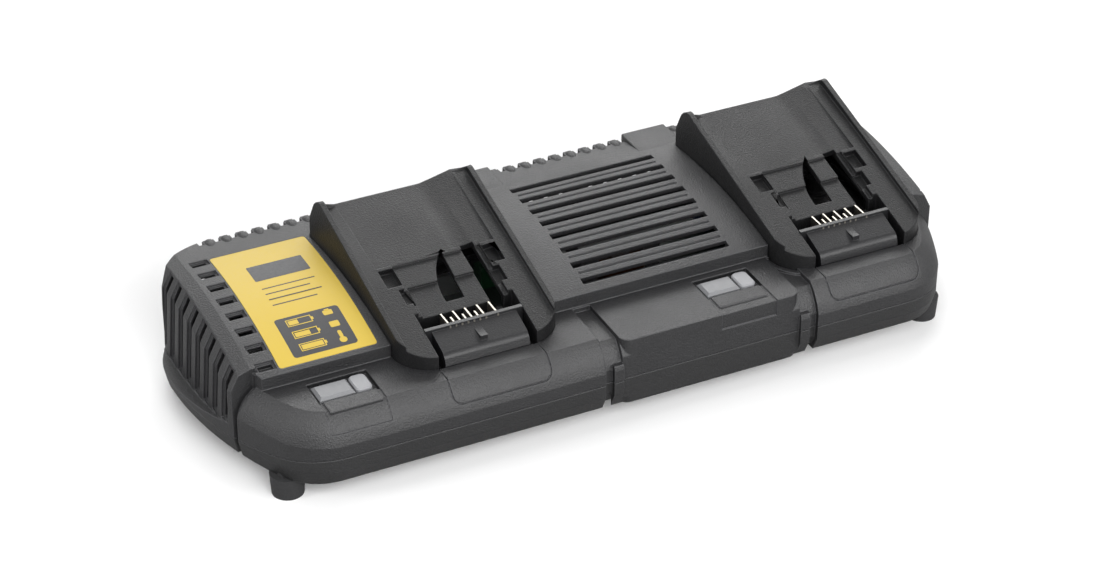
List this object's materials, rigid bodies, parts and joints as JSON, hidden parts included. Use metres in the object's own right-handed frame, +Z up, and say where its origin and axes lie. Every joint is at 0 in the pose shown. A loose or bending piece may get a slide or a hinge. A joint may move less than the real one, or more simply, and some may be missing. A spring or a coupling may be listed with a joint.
{
  "type": "power tool battery charger",
  "caption": "Long low bench charger for slide-on power tool battery packs, with inclined docks, louvred vents, indicator lamps and rubber feet.",
  "frame": {"origin": "middle of the housing's length and depth, at the level of the feet's undersides", "axes": "+X along the length with the printed label at the -X end, +Y to the rear where the cord leaves, +Z up"},
  "size_m": [0.3856, 0.149, 0.0808],
  "materials": {
    "housing_grey": "fine-grained moulded",
    "lower_grey": "fine-grained moulded",
    "dock_grey": "fine-grained moulded",
    "black_plastic": "moulded",
    "contact_brass": "plated",
    "lens_grey": "translucent grey",
    "lens_white": "translucent white",
    "lamp_red": "translucent red",
    "label_film": "printed film",
    "foot_rubber": "moulded",
    "zinc_steel": "zinc plated",
    "circuit_board": "solder mask",
    "ferrite": "ground",
    "copper_wire": "enamelled",
    "capacitor_sleeve": "sleeved",
    "sink_aluminium": "extruded",
    "film_yellow": "moulded",
    "fuse_glass": "clear",
    "terminal_green": "moulded"
  },
  "bodies": {
    "root": {"board_screws": "zinc_steel", "bottom_housing": "lower_grey", "bridge_rectifier": "black_plastic", "bulk_capacitors": "capacitor_sleeve", "case_screws": "zinc_steel", "cord_gland": "black_plastic", "dock_screws": "zinc_steel", "film_capacitor": "film_yellow", "filter_choke": "copper_wire", "foot_screws": "zinc_steel", "front_left_foot": "foot_rubber", "front_right_foot": "foot_rubber", "fuse": "fuse_glass", "heat_sinks": "sink_aluminium", "inlet_terminal": "terminal_green", "label_plate": "label_film", "left_blades": "contact_brass", "left_contact_block": "black_plastic", "left_dock": "dock_grey", "left_lamp_board": "circuit_board", "left_lamps": "lamp_red", "left_leads": "copper_wire", "left_lens": "lens_grey", "left_lens_cap": "lens_white", "main_board": "circuit_board", "output_capacitors": "capacitor_sleeve", "power_transistors": "black_plastic", "rear_left_foot": "foot_rubber", "rear_right_foot": "foot_rubber", "right_blades": "contact_brass", "right_contact_block": "black_plastic", "right_dock": "dock_grey", "right_lamp_board": "circuit_board", "right_lamps": "lamp_red", "right_leads": "copper_wire", "right_lens": "lens_grey", "right_lens_cap": "lens_white", "top_housing": "housing_grey", "transformer_core": "ferrite", "transformer_winding": "copper_wire"}
  },
  "joints": []
}
